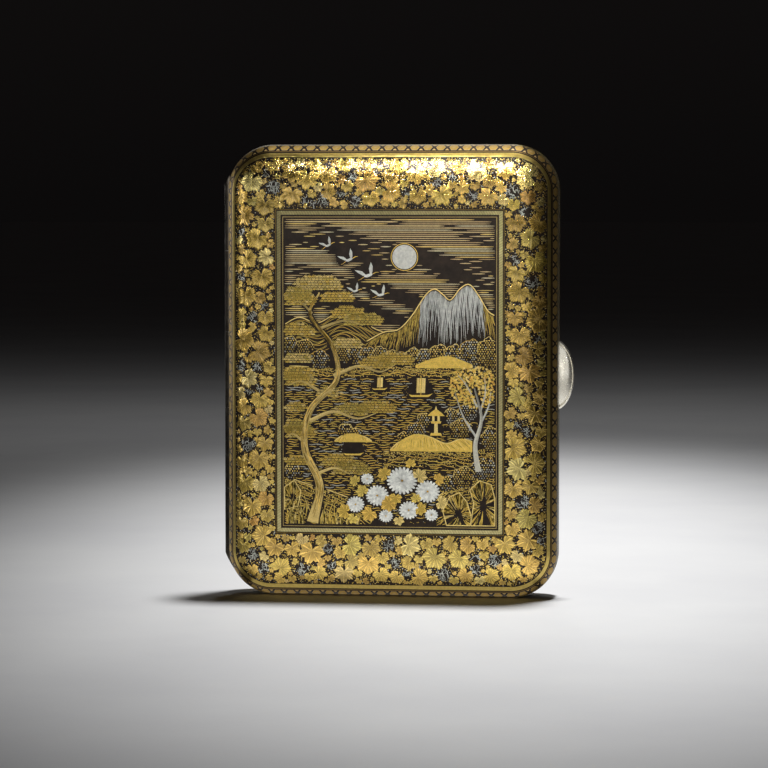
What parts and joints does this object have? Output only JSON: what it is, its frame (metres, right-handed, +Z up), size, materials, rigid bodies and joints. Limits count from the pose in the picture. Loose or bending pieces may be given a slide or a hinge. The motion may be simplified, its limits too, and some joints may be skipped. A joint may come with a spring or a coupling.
{
  "type": "cigarette case",
  "caption": "Slim hinged pocket case of inlaid iron with rolled edges, gilt inside, a side hinge, a sprung thumb catch and elastic retaining straps.",
  "frame": {"origin": "centre of the whole object's footprint, at the bottom edge that it stands on", "axes": "+Z up along the long side, -Y out of the decorated lid, +X towards the thumb piece; the hinge is on the -X side"},
  "size_m": [0.0936, 0.0192, 0.12],
  "materials": {
    "iron": "russet-black patinated iron, inlaid with gold and silver",
    "rim_silver": "satin silver",
    "gilt_liner": "polished gilt",
    "gilt_fittings": "polished gilt",
    "silver_rivets": "polished silver",
    "hinge_silver": "tarnished silver",
    "thumb_silver": "satin silver, lightly worn",
    "steel": "ground steel",
    "strap": "woven elastic ribbon"
  },
  "bodies": {
    "case_back": {"back_shell": "iron", "back_rim": "rim_silver", "back_liner": "gilt_liner", "back_strap": "strap", "back_strap_clip_upper": "gilt_fittings", "back_clip_rivet_upper_left": "silver_rivets", "back_clip_rivet_upper_right": "silver_rivets", "back_strap_clip_lower": "gilt_fittings", "back_clip_rivet_lower_left": "silver_rivets", "back_clip_rivet_lower_right": "silver_rivets", "hinge_knuckle_1": "hinge_silver", "hinge_knuckle_3": "hinge_silver", "hinge_knuckle_5": "hinge_silver", "hinge_pin": "steel", "latch_housing": "gilt_fittings", "housing_rivet_upper": "silver_rivets", "housing_rivet_lower": "silver_rivets", "latch_spring": "steel"},
    "lid": {"lid_shell": "iron", "lid_rim": "rim_silver", "lid_liner": "gilt_liner", "lid_strap": "strap", "lid_strap_clip_upper": "gilt_fittings", "lid_clip_rivet_upper_left": "silver_rivets", "lid_clip_rivet_upper_right": "silver_rivets", "lid_strap_clip_lower": "gilt_fittings", "lid_clip_rivet_lower_left": "silver_rivets", "lid_clip_rivet_lower_right": "silver_rivets", "hinge_knuckle_2": "hinge_silver", "hinge_knuckle_4": "hinge_silver", "latch_keeper": "gilt_fittings", "keeper_rivet_upper": "silver_rivets", "keeper_rivet_lower": "silver_rivets"},
    "push_catch": {"thumb_piece": "thumb_silver", "latch_bar": "steel"}
  },
  "joints": [
    {"name": "lid_hinge", "type": "hinge", "parent": "case_back", "child": "lid", "pos_m": [-0.04532, 0, 0.06], "axis": [0, 0, -1], "range_deg": [0, 175]},
    {"name": "thumb_push", "type": "slide", "parent": "case_back", "child": "push_catch", "axis": [-1, 0, 0], "range_m": [0, 0.0008], "stiffness_N_per_m": 1500, "deforming": ["latch_spring"]}
  ]
}
